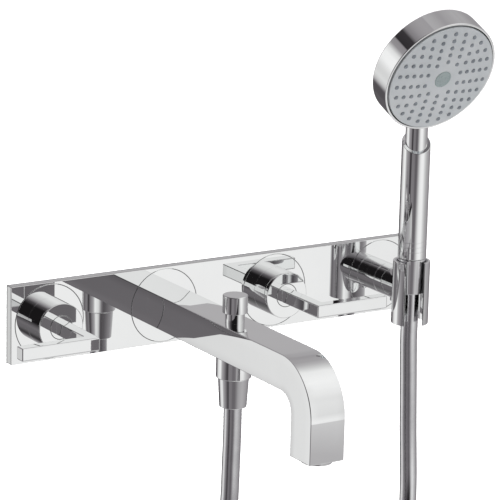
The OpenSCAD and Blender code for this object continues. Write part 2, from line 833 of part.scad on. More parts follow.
module nozzle_mat() color(plastic) {
  at_face(mat_depth) cylinder(r = face_r - 3 * fit, h = mat_t);
  at_face(0) nozzle_rods(nozzle_r, nozzle_proud, mat_depth + mat_t);
}

cap_r = 7.6;
cap_t = 0.4;

module face_cap() color(plastic) at_face(-dome_h - cap_t)
  cylinder(r = cap_r, h = cap_t + dome_h - dome_at(cap_r));

cover_plate();
plate_gasket();
manifold_body();
wall_bracket();
left_rosette();
spout_rosette();
right_rosette();
holder_rosette();
left_valve_body();
right_valve_body();
left_cartridge_body();
right_cartridge_body();
valve_seals();
ceramic_fixed_discs();
cartridge_nuts();
left_handle_sleeve();
right_handle_sleeve();
grub_screws();
left_lever_hub();
left_lever_bar();
left_spindle();
left_ceramic_disc();
right_lever_hub();
right_lever_bar();
right_spindle();
right_ceramic_disc();
spout_body();
aerator_housing();
aerator_insert();
aerator_washer();
diverter_body();
diverter_collar();
diverter_knob();
diverter_rod();
diverter_piston();
diverter_spring();
shower_outlet();
check_valve();
lower_hose_washer();
lower_hose_ferrule();
lower_hose_nut();
hose_left();
hose_coil();
hose_right();
hose_tie();
holder_base();
holder_friction_ring();
holder_bolt();
holder_arm();
holder_clip();
holder_liner();
holder_lock_screw();
upper_cone_nut();
upper_hose_washer();
shower_grip();
shower_neck();
head_shell();
spray_face();
nozzle_mat();
face_cap();
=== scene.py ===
import math

import bmesh
import bpy
from mathutils import Matrix, Vector


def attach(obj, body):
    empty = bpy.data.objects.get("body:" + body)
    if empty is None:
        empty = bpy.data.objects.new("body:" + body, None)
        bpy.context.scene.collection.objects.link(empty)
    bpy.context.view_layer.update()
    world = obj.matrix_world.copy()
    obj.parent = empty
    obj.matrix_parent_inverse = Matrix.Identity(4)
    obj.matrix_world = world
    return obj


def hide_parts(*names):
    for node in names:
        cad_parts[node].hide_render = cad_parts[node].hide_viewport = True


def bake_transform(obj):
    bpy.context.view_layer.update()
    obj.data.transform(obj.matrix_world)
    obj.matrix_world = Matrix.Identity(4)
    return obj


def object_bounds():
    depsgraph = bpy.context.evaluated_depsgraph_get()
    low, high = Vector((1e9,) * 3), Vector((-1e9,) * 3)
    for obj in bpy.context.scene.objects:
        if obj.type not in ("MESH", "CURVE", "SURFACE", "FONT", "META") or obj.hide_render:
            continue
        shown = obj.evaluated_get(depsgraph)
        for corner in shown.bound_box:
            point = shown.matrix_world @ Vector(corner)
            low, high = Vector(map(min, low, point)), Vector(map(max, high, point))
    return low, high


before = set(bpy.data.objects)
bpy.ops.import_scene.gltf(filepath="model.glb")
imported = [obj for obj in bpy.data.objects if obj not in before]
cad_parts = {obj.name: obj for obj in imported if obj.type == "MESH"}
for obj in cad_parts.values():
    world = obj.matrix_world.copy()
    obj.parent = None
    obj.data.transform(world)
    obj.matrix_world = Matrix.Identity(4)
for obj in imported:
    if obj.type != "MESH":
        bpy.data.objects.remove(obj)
cad_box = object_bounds()
MM = 0.001
pi = math.pi
scene = bpy.context.scene
scene.view_settings.view_transform = "Standard"

# Main sizes in millimetres, as in the CAD: X along the plate, -Y out from the wall, Z up
LEFT, SPOUT, RIGHT, HOLDER = AXES = (-153.0, -51.0, 51.0, 153.0)
PLATE_HALF_W, PLATE_HALF_H, PLATE_FRONT = 186, 31, 8.0
SEAM_FLOOR = 6.5
SLEEVE_R, SLEEVE_BACK, SLEEVE_FRONT = 18.85, 8.05, 27.3
SPOUT_HALF_W, SPOUT_HALF_H, SPOUT_OUT, SPOUT_BEND, SPOUT_TIP = 15, 13.75, 231.75, 28.75, -60
CLIP_OUT = 54.0
CLIP = (HOLDER, -CLIP_OUT)
DIVERTER = (SPOUT, -114.0)
AERATOR = (SPOUT, -SPOUT_OUT)
GRIP_R, GRIP_LOW, GRIP_TOP = 11.6, 26.0, 121.0
GRIP_SLANT, GRIP_TURN = math.radians(31), math.radians(24)
NECK_R, NECK_LOW = 9.0, 31.3
MID_HEIGHT = 100.0      # where the long walls of the hand shower have one more ring
FACE = Vector((HOLDER, -83.4, 179.5))
TILT = math.radians(24)
HEAD_R, HEAD_DEPTH, FACE_R = 50, 21, 47.25
DOME_RISE, DOME_R = 3.6, 488.5
NOZZLE_RINGS, NOZZLES_FIRST, NOZZLES_MORE = 5, 10, 4
NOZZLE_INNER, NOZZLE_STEP = 16.15, 6.3


# ---------- camera ----------

def look(azimuth, elevation, roll, distance, target, offset, lens):
    """A camera round the target, which is first moved by the offset to the camera's right and
    up. Angles are in degrees, lengths in millimetres."""
    a, e, r = (math.radians(x) for x in (azimuth, elevation, roll))
    back = Vector((math.sin(a) * math.cos(e), -math.cos(a) * math.cos(e), math.sin(e)))
    right = Vector((math.cos(a), math.sin(a), 0))
    up = back.cross(right)
    right, up = (math.cos(r) * right + math.sin(r) * up,
                 math.cos(r) * up - math.sin(r) * right)
    data = bpy.data.cameras.new("camera")
    data.lens = lens
    data.sensor_width = 36
    data.clip_start, data.clip_end = 0.05, 60
    cam = bpy.data.objects.new("camera", data)
    scene.collection.objects.link(cam)
    target = Vector(target) * MM + right * (offset[0] * MM) + up * (offset[1] * MM)
    turn = Matrix((right, up, back)).transposed().to_4x4()
    cam.matrix_world = Matrix.Translation(target + back * distance * MM) @ turn
    scene.camera = cam


look(azimuth=-32.06, elevation=14.52, roll=1.418, distance=2336.5,
     target=(34.45, 0, 40.05), offset=(-1.915, -6.707), lens=209.95)


# ---------- materials ----------

def material(name):
    m = bpy.data.materials.new(name)
    m.use_nodes = True
    t = m.node_tree
    t.nodes.clear()
    out = t.nodes.new("ShaderNodeOutputMaterial")
    bsdf = t.nodes.new("ShaderNodeBsdfPrincipled")
    t.links.new(bsdf.outputs[0], out.inputs["Surface"])
    where = t.nodes.new("ShaderNodeTexCoord")
    return m, t, bsdf, where.outputs["Object"]


def node(t, kind, inputs=(), **props):
    """A new node. Each input is a value, or another node's output to link."""
    n = t.nodes.new(kind)
    for k, v in props.items():
        setattr(n, k, v)
    for k, v in dict(inputs).items():
        if isinstance(v, bpy.types.NodeSocket):
            t.links.new(v, n.inputs[k])
        else:
            n.inputs[k].default_value = v
    return n


def noise(t, where, scale, detail=3.0, roughness=0.5, stretch=None):
    if stretch:
        where = node(t, "ShaderNodeMapping", {"Vector": where, "Scale": stretch}).outputs[0]
    return node(t, "ShaderNodeTexNoise", {"Vector": where, "Scale": scale, "Detail": detail,
                                          "Roughness": roughness}).outputs["Fac"]


def spread(t, fac, low, high, start=0.3, stop=0.7):
    """Stretches a factor between start and stop to the range from low to high."""
    return node(t, "ShaderNodeMapRange", {"Value": fac, "From Min": start, "From Max": stop,
                                          "To Min": low, "To Max": high}).outputs["Result"]


def tones(t, fac, *stops):
    """A colour ramp of (place, colour) stops."""
    ramp = node(t, "ShaderNodeValToRGB", {"Fac": fac})
    r = ramp.color_ramp
    while len(r.elements) < len(stops):
        r.elements.new(0.5)
    for e, (place, colour) in zip(r.elements, stops):
        e.position = place
        e.color = (*colour, 1)
    return ramp.outputs["Color"]


def bump(t, bsdf, height, strength, distance):
    n = node(t, "ShaderNodeBump",
             {"Height": height, "Strength": strength, "Distance": distance})
    t.links.new(n.outputs["Normal"], bsdf.inputs["Normal"])


def chrome(name, low=0.93, high=0.95, rough=(0.008, 0.022), tint=(0.993, 1.0, 0.998)):
    # polished plating: a faint polishing haze and hardly any colour
    m, t, bsdf, where = material(name)
    haze = noise(t, where, 38, 4, 0.6)
    colour = tones(t, haze, (0.3, [low * c for c in tint]), (0.7, [high * c for c in tint]))
    t.links.new(colour, bsdf.inputs["Base Color"])
    bsdf.inputs["Metallic"].default_value = 1
    t.links.new(spread(t, noise(t, where, 210, 5, 0.7), *rough), bsdf.inputs["Roughness"])
    return m


def brushed(name, colour, rough, grain, stretch, depth):
    # machined metal with tool marks across the stretched direction
    m, t, bsdf, where = material(name)
    marks = noise(t, where, grain, 4, 0.65, stretch)
    dark, bright = [c * 0.72 for c in colour], [min(1, c * 1.1) for c in colour]
    t.links.new(tones(t, marks, (0.25, dark), (0.6, colour), (0.85, bright)),
                bsdf.inputs["Base Color"])
    bsdf.inputs["Metallic"].default_value = 1
    t.links.new(spread(t, marks, rough + 0.08, rough), bsdf.inputs["Roughness"])
    bump(t, bsdf, marks, 0.5, depth)
    return m


def moulded(name, dark, light, rough, scale=900, depth=0.00003, specular=0.5, coat=0.0):
    # moulded plastic or rubber with a fine spark texture and slow shade changes
    m, t, bsdf, where = material(name)
    slow = noise(t, where, 45, 3)
    t.links.new(tones(t, slow, (0.3, dark), (0.7, light)), bsdf.inputs["Base Color"])
    fine = noise(t, where, scale, 4, 0.6)
    t.links.new(spread(t, fine, rough - 0.06, rough + 0.06), bsdf.inputs["Roughness"])
    bsdf.inputs["Specular IOR Level"].default_value = specular
    bsdf.inputs["Coat Weight"].default_value = coat
    bump(t, bsdf, fine, 0.35, depth)
    return m


CHROME = chrome("chrome_polished")
CHROME_EDGE = chrome("chrome_turned", 0.90, 0.94, (0.03, 0.06))
BRASS = brushed("brass_machined", (0.72, 0.50, 0.20), 0.24, 260, (1, 9, 1), 0.00004)
BRASS_TURNED = brushed("brass_turned", (0.74, 0.52, 0.22), 0.2, 120, (1, 30, 1), 0.00003)
STEEL = brushed("steel_ground", (0.56, 0.57, 0.58), 0.28, 240, (1, 1, 10), 0.00003)
RUBBER = moulded("rubber_black", (0.012, 0.012, 0.013), (0.03, 0.03, 0.031),
                 0.62, 1200, 0.00005, 0.35)
CERAMIC = moulded("ceramic_lapped", (0.78, 0.76, 0.70), (0.86, 0.84, 0.79),
                  0.18, 1500, 0.00001, 0.6, 0.3)
PLASTIC = moulded("plastic_white", (0.62, 0.63, 0.64), (0.72, 0.73, 0.74), 0.34)
DARK_PLASTIC = moulded("plastic_liner", (0.10, 0.10, 0.11), (0.16, 0.16, 0.17), 0.4)
FACE_GREY = moulded("spray_face_satin", (0.385, 0.408, 0.422), (0.43, 0.445, 0.458),
                    0.36, 700, 0.00002, 0.5, 0.15)
NOZZLE = moulded("nozzle_silicone", (0.17, 0.19, 0.21), (0.23, 0.25, 0.27),
                 0.5, 1600, 0.00003, 0.4)
CAP = moulded("cap_satin", (0.20, 0.245, 0.245), (0.26, 0.305, 0.305), 0.3, 900, 0.00002, 0.6)


def hose_material():
    # silvered tube under a clear skin, with the fine lay of its reinforcement
    m, t, bsdf, where = material("hose_silver")
    slow = noise(t, where, 120, 3)
    fine = noise(t, where, 1400, 3, 0.6)
    mixed = node(t, "ShaderNodeMix", {0: 0.35, 2: slow, 3: fine},
                 data_type="FLOAT").outputs[0]
    t.links.new(tones(t, mixed, (0.3, (0.74, 0.74, 0.75)), (0.7, (0.82, 0.82, 0.83))),
                bsdf.inputs["Base Color"])
    bsdf.inputs["Metallic"].default_value = 1
    t.links.new(spread(t, fine, 0.13, 0.19), bsdf.inputs["Roughness"])
    bump(t, bsdf, fine, 0.15, 0.00001)
    return m


HOSE = hose_material()


# ---------- mesh code ----------

def outline(corners, fine=8, closed=True):
    """Rounds the corners of a polygon. A corner is (x, y, radius), or (x, y, nx, ny) for a
    point of a curve whose outward normal is known. An open outline's ends are (x, y). Gives
    (x, y, nx, ny) points, with outward to the right of the way."""
    n = len(corners)
    pts = []
    for i, c in enumerate(corners):
        p = Vector(c[:2])
        if len(c) == 4:
            pts.append(tuple(c))
            continue
        if not closed and i in (0, n - 1):
            q = Vector(corners[1 if i == 0 else n - 2][:2])
            d = (q - p if i == 0 else p - q).normalized()
            pts.append((p.x, p.y, d.y, -d.x))
            continue
        a = (p - Vector(corners[i - 1][:2])).normalized()
        b = (Vector(corners[(i + 1) % n][:2]) - p).normalized()
        angle = math.atan2(a.x * b.y - a.y * b.x, a.dot(b))
        radius = c[2]
        side = 1 if angle > 0 else -1
        start = p - a * radius * math.tan(abs(angle) / 2)
        centre = start + Vector((-a.y, a.x)) * side * radius
        steps = max(fine, int(abs(math.degrees(angle)) / (90 / fine)))
        for k in range(steps + 1):
            t = angle * k / steps
            ct, st = math.cos(t), math.sin(t)
            nrm = Vector((a.x * st + a.y * ct, a.y * st - a.x * ct))
            q = centre + nrm * side * radius
            pts.append((q.x, q.y, nrm.x, nrm.y))
    return pts


def arc(r, a0, a1, inward=False, step=2.5):
    """Points of an arc in degrees, with normals away from its centre, or towards it."""
    steps = max(2, int(abs(a1 - a0) / step))
    s = -1 if inward else 1
    out = []
    for k in range(steps + 1):
        a = math.radians(a0 + (a1 - a0) * k / steps)
        c, d = math.cos(a), math.sin(a)
        out.append((r * c, r * d, s * c, s * d))
    return out


def circle(x, r, way=1, sides=120):
    """A circle's points about (x, 0), as an outside, or as a hole with way -1."""
    out = []
    for k in range(sides):
        a = way * 2 * pi * k / sides
        c, d = math.cos(a), math.sin(a)
        out.append((x + r * c, r * d, way * c, way * d))
    return out


def rectangle(half_w, half_h, r):
    return outline([(-half_w, -half_h, r), (half_w, -half_h, r),
                    (half_w, half_h, r), (-half_w, half_h, r)], 6)


def build(name, verts, normals, faces, turn=None):
    """An object from points in millimetres with known smooth normals."""
    turn = turn or Matrix.Identity(4)
    spin = turn.to_3x3()
    me = bpy.data.meshes.new(name)
    me.from_pydata([(turn @ Vector(v)) * MM for v in verts], [], faces)
    me.polygons.foreach_set("use_smooth", [True] * len(me.polygons))
    me.normals_split_custom_set_from_vertices([(spin @ Vector(v)).normalized() for v in normals])
    me.update()
    o = bpy.data.objects.new(name, me)
    scene.collection.objects.link(o)
    return o


def ring(verts, normals, points):
    """Adds (point, normal) pairs to the lists, and gives their numbers."""
    first = len(verts)
    for p, n in points:
        verts.append(p)
        normals.append(n)
    return list(range(first, len(verts)))


def round_ring(verts, normals, sides, point):
    """Adds a ring from point(cosine, sine), which gives a point and its normal."""
    turns = [2 * pi * k / sides for k in range(sides)]
    return ring(verts, normals, [point(math.cos(a), math.sin(a)) for a in turns])


def wall_ring(verts, normals, sides, r, height, way=1):
    """Adds a ring of a straight wall, at the height that height(cosine, sine) gives. Its
    normals point away from the axis, or towards it with way -1."""
    return round_ring(verts, normals, sides, lambda c, s: (
        (r * c, r * s, height(c, s)), (way * c, way * s, 0)))


def skin(loops, closed=False):
    """Faces between neighbouring rings of point numbers. A ring of one point is a pole."""
    faces = []
    for a, b in zip(loops, loops[1:] + loops[:1] if closed else loops[1:]):
        n = max(len(a), len(b))
        for k in range(n if n > 1 else 0):
            m = (k + 1) % n
            if len(a) == 1:
                faces.append((a[0], b[m], b[k]))
            elif len(b) == 1:
                faces.append((a[k], a[m], b[0]))
            else:
                faces.append((a[k], a[m], b[m], b[k]))
    return faces


def ends(loops):
    """The faces that close a row of rings at its two ends."""
    return [tuple(reversed(loops[0])), tuple(loops[-1])]


def turned_rings(verts, normals, profile, sides, middle=(0, 0), lift=0.0):
    """Adds a ring for each (r, z, nr, nz) point of a profile, or a pole where r is 0."""
    x, y = middle
    loops = []
    for r, z, nr, nz in profile:
        if r < 1e-6:
            loops.append(ring(verts, normals, [((x, y, z - lift), (0, 0, 1 if nz > 0 else -1))]))
        else:
            loops.append(round_ring(verts, normals, sides, lambda c, s: (
                (x + r * c, y + r * s, z - lift), (nr * c, nr * s, nz))))
    return loops


def lathe(name, profile, turn, sides=96, closed=False):
    """Turns (r, z, nr, nz) points round the local Z axis."""
    verts, normals = [], []
    loops = turned_rings(verts, normals, profile, sides)
    return build(name, verts, normals, skin(loops, closed), turn)


def slab(name, loops, low, high, edge, turn, steps=4, back_edge=None, power=2.0):
    """A flat piece with rounded edges from outlines in the local XY plane: the first is the
    outside, counterclockwise, and the others are holes, clockwise. The edge's section is a
    quarter of a circle, or of a squarer curve where power is above 2."""
    verts, normals, faces = [], [], []
    back_edge = edge if back_edge is None else back_edge
    quarter = []
    for k in range(steps + 1):
        t = pi / 2 * k / steps
        u, v = math.cos(t) ** (2 / power), math.sin(t) ** (2 / power)
        n = Vector((u ** (power - 1), v ** (power - 1))).normalized()
        quarter.append((u, v, n.x, n.y))
    levels = [(back_edge * (1 - u), low + back_edge * (1 - v), side, -up)
              for u, v, side, up in reversed(quarter)]
    levels += [(edge * (1 - u), high - edge * (1 - v), side, up) for u, v, side, up in quarter]
    caps = ([], [])
    for loop in loops:
        stack = [ring(verts, normals, [
            ((x - nx * inset, y - ny * inset, z), (nx * side, ny * side, up))
            for x, y, nx, ny in loop]) for inset, z, side, up in levels]
        faces += skin(stack)
        caps[0].append(stack[0])
        caps[1].append(stack[-1])
    for which, cap in enumerate(caps):
        bm = bmesh.new()
        edges = []
        tags = {}
        for row in cap:
            vs = [bm.verts.new(verts[i]) for i in row]
            tags.update(zip(vs, row))
            edges += [bm.edges.new((vs[k], vs[(k + 1) % len(vs)])) for k in range(len(vs))]
        bmesh.ops.triangle_fill(bm, use_beauty=True, use_dissolve=False, edges=edges,
                                normal=(0, 0, 1))
        for f in bm.faces:
            f.normal_update()
            order = [tags[v] for v in f.verts]
            if (f.normal.z > 0) != (which == 1):
                order.reverse()
            faces.append(tuple(order))
        bm.free()
    return build(name, verts, normals, faces, turn)


def smooth_path(points, per=6):
    """A Catmull-Rom curve through the points."""
    p = [Vector(x) for x in points]
    out = []
    for i in range(len(p) - 1):
        a, b = p[i], p[i + 1]
        before = p[i - 1] if i else a + (a - b)
        after = p[i + 2] if i + 2 < len(p) else b + (b - a)
        for k in range(per):
            t = k / per
            out.append(0.5 * (2 * a + (b - before) * t
                              + (2 * before - 5 * a + 4 * b - after) * t * t
                              + (3 * a - before - 3 * b + after) * t ** 3))
    out.append(p[-1])
    return out


def tube(name, path, radius, sides, up=None):
    """A round tube along a path, with exact normals and closed ends. Gives the object and the
    way up at its far end, from which a next tube can go on."""
    verts, normals, loops = [], [], []
    n = len(path)
    for i, p in enumerate(path):
        d = (path[min(i + 1, n - 1)] - path[max(i - 1, 0)]).normalized()
        if up is None:
            up = d.orthogonal()
        up = (up - d * up.dot(d)).normalized()
        side = d.cross(up)
        loops.append(round_ring(verts, normals, sides, lambda c, s: (
            p + (up * c + side * s) * radius, up * c + side * s)))
    return build(name, verts, normals, skin(loops) + ends(loops)), up


def upright(x, y):
    """A place for a piece whose axis is upright."""
    return Matrix.Translation((x, y, 0))


def outward(x):
    """A place for a piece whose local +Z runs out from the wall, and whose local Y is up."""
    return Matrix.Translation((x, 0, 0)) @ Matrix.Rotation(pi / 2, 4, "X")


def piece(o, body, mat, *nodes):
    """Gives an object its material, and says what it rides on and which nodes it replaces."""
    o.data.materials.clear()
    o.data.materials.append(mat)
    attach(o, body)
    if nodes:
        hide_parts(*nodes)


def rod(name, r, low, high, turn, edge_low, edge_high, sides=96):
    """A solid turned rod with rounded ends."""
    c = [(0, low), (r, low, edge_low), (r, high, edge_high), (0, high)]
    return lathe(name, outline(c, 6, False), turn, sides)


def ring_piece(name, r_out, r_in, low, high, turn, edge, sides=96):
    """A turned ring with rounded edges."""
    c = [(r_in, low, edge), (r_out, low, edge), (r_out, high, edge), (r_in, high, edge)]
    return lathe(name, outline(c, 5), turn, sides, closed=True)


# ---------- hose, first because it decides how much room the model takes ----------

LEFT_ROUTE = [
    (-51, -114, -53), (-51, -114, -75), (-51.5, -114, -100), (-52, -114, -125),
    (-53, -113, -150), (-53, -111, -175), (-51, -108, -200), (-45, -104, -225),
    (-37, -100, -245), (-29, -97, -266), (-24.5, -95.5, -282), (-23, -95, -297)]
RIGHT_ROUTE = [
    (127, -72, -297), (128.5, -71.5, -282), (133, -70, -266), (141, -67, -243),
    (149, -63, -220), (154.5, -59, -195), (157, -56, -170), (157, -54.5, -145),
    (156, -54, -120), (155, -54, -95), (154, -54, -70), (153, -54, -45),
    (153, -54, -25), (153, -54, -3)]
COIL = Vector((52, -83.5, -297))
COIL_R = 75.0
HOSE_R = 7.0


def coil_points():
    # one and a half turns, from the left run's end to the right run's start
    turns, per_turn, width = 1.5, 64, 23
    total = int(turns * per_turn)
    pts = []
    for k in range(1, total):
        a = pi + 2 * pi * turns * k / total
        pts.append(COIL + Vector((COIL_R * math.cos(a), -width / 2 + width * k / total,
                                  COIL_R * math.sin(a))))
    return pts


def nearest(path, height):
    """The number of the path's point nearest to a height."""
    return min(range(len(path)), key=lambda i: abs(path[i].z - height))


left_part = smooth_path(LEFT_ROUTE)
right_part = smooth_path(RIGHT_ROUTE)
# the heights at which the hose goes over from the mixer to the holder, and from the holder to
# the shower's cone nut
split_low, split_high = nearest(right_part, -282), nearest(right_part, -145)
runs = {
    "hose_lower_run": left_part + coil_points() + right_part[:split_low + 1],
    "hose_rising_run": right_part[split_low:split_high + 1],
    "hose_upper_run": right_part[split_high:],
}


hose_up = None      # each run starts with the way up in which the last one ended
hose = {}
for name, path in runs.items():
    o, hose_up = tube(name, path, HOSE_R, 32, hose_up)
    o.data.materials.append(HOSE)
    hose[name] = o
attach(hose["hose_lower_run"], "mixer")
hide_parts("hose_left", "hose_coil")
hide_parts("hose_right")
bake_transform(hose["hose_rising_run"])
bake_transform(hose["hose_upper_run"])


def tie():
    # a soft strap round both turns at the bottom of the coil
    half, r = 11.5, HOSE_R + 0.7
    loop = []
    for middle, start in ((half, 0), (-half, pi)):
        for k in range(17):
            a = start + pi * k / 16
            loop.append((r * math.cos(a), middle + r * math.sin(a)))
    n = len(loop)
    # the strap's section: degrees along the coil, height over its middle, the normal's lean
    section = ((-5, -0.5, -0.9), (-5.2, 0.0, -0.6), (-4.9, 0.45, -0.25), (0, 0.5, 0),
               (4.9, 0.45, 0.25), (5.2, 0.0, 0.6), (5, -0.5, 0.9))
    verts, normals, stack = [], [], []
    for degrees, grow, lean in section:
        a = math.radians(-90 + degrees)
        radial = Vector((math.cos(a), 0, math.sin(a)))
        along = Vector((-math.sin(a), 0, math.cos(a)))
        points = []
        for i, (u, v) in enumerate(loop):
            p, q = loop[i - 1], loop[(i + 1) % n]
            d = Vector((q[0] - p[0], q[1] - p[1])).normalized()
            nu, nv = d.y, -d.x
            points.append((
                COIL + radial * (COIL_R + u + nu * grow) + Vector((0, v + nv * grow, 0)),
                (radial * nu + Vector((0, nv, 0))) * (1 - abs(lean) * 0.6) + along * lean))
        stack.append(ring(verts, normals, points))
    return build("hose_strap", verts, normals, [tuple(reversed(f)) for f in skin(stack)])


piece(tie(), "mixer", RUBBER, "hose_tie")


# ---------- plate ----------

outside = rectangle(PLATE_HALF_W, PLATE_HALF_H, 0.9)
front = slab("plate_front", [outside] + [circle(x, 29.68, -1) for x in AXES],
             SEAM_FLOOR, PLATE_FRONT, 0.35, outward(0), back_edge=0.1)
piece(front, "mixer", CHROME)
rim_w = 2.5
inside = [(x, y, -nx, -ny) for x, y, nx, ny in
          reversed(rectangle(PLATE_HALF_W - rim_w, PLATE_HALF_H - rim_w, 0.9))]
rim = slab("plate_rim", [outside, inside], 1.0, 7.0, 0.05, outward(0), back_edge=0.2)
piece(rim, "mixer", CHROME, "cover_plate")
for name, x, bore in zip(("left", "spout", "right", "holder"), AXES, (15.4, 10.1, 15.4, 4.2)):
    disc = slab(f"{name}_seam_disc", [circle(x, 29.4), circle(x, bore, -1)],
                SEAM_FLOOR, PLATE_FRONT, 0.22, outward(0), back_edge=0.1)
    piece(disc, "mixer", CHROME, f"{name}_rosette")
    # a dark rubber ring behind the seam, which also hides the brass: painted shade, standing in
    # for the shadow that falls in the gap
    seal_and_shade_ring = ring_piece(f"{name}_seam_shade_ring", 30.0, 28.9, 6.2, 6.55, outward(x), 0.1)
    piece(seal_and_shade_ring, "mixer", RUBBER)


# ---------- handles ----------

for side, x, way in (("left", LEFT, -1), ("right", RIGHT, 1)):
    bore, wall, cap = 9.52, 2.0, 2.4
    sleeve = lathe(f"{side}_sleeve_turned", outline([
        (bore, SLEEVE_FRONT - cap, 0.15), (SLEEVE_R - wall, SLEEVE_FRONT - cap, 0.3),
        (SLEEVE_R - wall, SLEEVE_BACK, 0.2), (SLEEVE_R, SLEEVE_BACK, 0.2),
        (SLEEVE_R, SLEEVE_FRONT, 0.55), (bore, SLEEVE_FRONT, 0.2)], 6),
        outward(x), 120, closed=True)
    piece(sleeve, "mixer", CHROME, f"{side}_handle_sleeve")
    seal_and_shade_ring = ring_piece(f"{side}_hub_seal", 9.6, 9.3, 25.3, 25.9, outward(x), 0.1)
    piece(seal_and_shade_ring, "mixer", RUBBER)
    hub = rod(f"{side}_hub_turned", 9.22, 23.5, 27.28, outward(x), 0.2, 0.25)
    piece(hub, f"{side}_lever", CHROME, f"{side}_lever_hub")
    # the lever from above: straight out of the hub, then to the side
    half, root, elbow, front_y, reach = 4.6, -27.2, -71.3, -80.5, 61
    path = [(-half, root, 1.1), (-half, front_y, 1.1), (reach, front_y, 1.1),
            (reach, elbow, 1.1), (half, elbow, 0.9), (half, root, 1.1)]
    path = [(x + way * px, py, r) for px, py, r in path][::way]
    bar = slab(f"{side}_lever_milled", [outline(path, 6)], -5, 5, 1.0, Matrix.Identity(4), 8,
               power=2.6)
    piece(bar, f"{side}_lever", CHROME, f"{side}_lever_bar")


# ---------- spout ----------

def eased_square(half_w, half_h, reach, ease, edge):
    """A rectangle's section: flats that ease off by `ease` per mm over the last `reach` mm
    before a small round edge. Gives (x, y, nx, ny), counterclockwise."""
    length = reach - edge
    tilt = ease * length
    drop = tilt * length / 2
    easing = []
    for k in range(7):
        d = length * k / 6
        easing.append((reach - d, ease * d * d / 2, math.cos(ease * d), math.sin(ease * d)))
    corner = [(half_w - down, half_h - back, c, s) for back, down, c, s in easing]
    for k in range(1, 7):
        a = tilt + (pi / 2 - 2 * tilt) * k / 7
        c, s = math.cos(a), math.sin(a)
        corner.append((half_w - drop - edge * (1 - c), half_h - drop - edge * (1 - s), c, s))
    corner += [(half_w - back, half_h - down, s, c) for back, down, c, s in reversed(easing)]
    pts = []
    for sx, sy in ((1, 1), (-1, 1), (-1, -1), (1, -1)):
        part = [(sx * x, sy * y, sx * nx, sy * ny) for x, y, nx, ny in corner]
        pts += part if sx * sy > 0 else part[::-1]
    return pts


def spout():
    # the soft square section swept out from the wall, round the bend and down to the outlet
    section = eased_square(SPOUT_HALF_W, SPOUT_HALF_H, 7.2, 0.0072, 0.7)
    start, edge = 8.3, 0.8
    bend_from, fall = SPOUT_OUT - SPOUT_BEND, SPOUT_TIP + edge + SPOUT_BEND
    # distance out, height, angle of the bend, inset and the normal's lean at the tip's edge
    stations = [(8.02, 0, 0, 0, 0), (start, 0, 0, 0, 0)]
    stations += [(start + (bend_from - start) * k / 24, 0, 0, 0, 0) for k in range(1, 25)]
    for k in range(1, 49):
        a = pi / 2 * k / 48
        stations.append((bend_from + SPOUT_BEND * math.sin(a), SPOUT_BEND * (math.cos(a) - 1),
                         a, 0, 0))
    stations += [(SPOUT_OUT, -SPOUT_BEND + fall * k / 6, pi / 2, 0, 0) for k in range(1, 7)]
    for k in range(1, 6):
        t = pi / 2 * k / 5
        stations.append((SPOUT_OUT, SPOUT_TIP + edge * (1 - math.sin(t)), pi / 2,
                         edge * (1 - math.cos(t)), math.sin(t)))
    verts, normals, stack = [], [], []
    for out, z, bend, inset, lean in stations:
        up = Vector((0, -math.sin(bend), math.cos(bend)))
        way = Vector((0, -math.cos(bend), -math.sin(bend)))
        side = math.sqrt(max(0.0, 1 - lean * lean))
        stack.append(ring(verts, normals, [
            (Vector((SPOUT + x - nx * inset, -out, z)) + up * (y - ny * inset),
             (Vector((nx, 0, 0)) + up * ny) * side + way * lean)
            for x, y, nx, ny in section]))
    return build("spout_shell", verts, normals, skin(stack) + ends(stack))


piece(spout(), "mixer", CHROME, "spout_body")

aerator_turn = upright(*AERATOR)
housing = lathe("aerator_sleeve", outline([
    (9.9, -61.9, 0.15), (8.6, -61.9, 0.15), (8.6, -62.5, 0.2), (11.8, -62.5, 0.6),
    (11.8, -59.6, 0.2), (9.9, -59.6, 0.2)], 5), aerator_turn, closed=True)
piece(housing, "mixer", CHROME, "aerator_housing")


def screen():
    # the outlet's honeycomb
    r, cell_r, pitch, depth, low = 8.8, 0.68, 1.75, 1.2, -61.6
    bm = bmesh.new()

    def polygon(x, y, r, n, start):
        turns = [start + 2 * pi * k / n for k in range(n)]
        vs = [bm.verts.new((x + r * math.cos(a), y + r * math.sin(a), 0)) for a in turns]
        return [bm.edges.new((vs[k], vs[(k + 1) % n])) for k in range(n)]

    cells = [(pitch * (i + j / 2), pitch * j * 0.866)
             for i in range(-7, 8) for j in range(-7, 8)]
    cells = [(x, y) for x, y in cells if math.hypot(x, y) < r - 1.0]
    edges = polygon(0, 0, r, 64, 0)
    for x, y in cells:
        edges += polygon(x, y, cell_r, 6, pi / 6)
    bmesh.ops.triangle_fill(bm, use_beauty=True, use_dissolve=False, edges=edges,
                            normal=(0, 0, 1))

    def inside(f):
        return any(all(math.hypot(v.co.x - x, v.co.y - y) < cell_r + 0.02 for v in f.verts)
                   for x, y in cells)

    bmesh.ops.delete(bm, geom=[f for f in bm.faces if inside(f)], context="FACES_ONLY")
    made = bmesh.ops.extrude_face_region(bm, geom=list(bm.faces))
    for v in made["geom"]:
        if isinstance(v, bmesh.types.BMVert):
            v.co.z += depth
    bmesh.ops.recalc_face_normals(bm, faces=bm.faces)
    me = bpy.data.meshes.new("aerator_honeycomb")
    bm.to_mesh(me)
    bm.free()
    me.transform(Matrix.Scale(MM, 4) @ Matrix.Translation((*AERATOR, low)))
    o = bpy.data.objects.new("aerator_honeycomb", me)
    scene.collection.objects.link(o)
    return o


piece(screen(), "mixer", DARK_PLASTIC)
core = rod("aerator_core", 9.6, -60.2, -58, aerator_turn, 0.2, 0.2, 64)
piece(core, "mixer", DARK_PLASTIC, "aerator_insert")


# ---------- diverter and hose outlet ----------

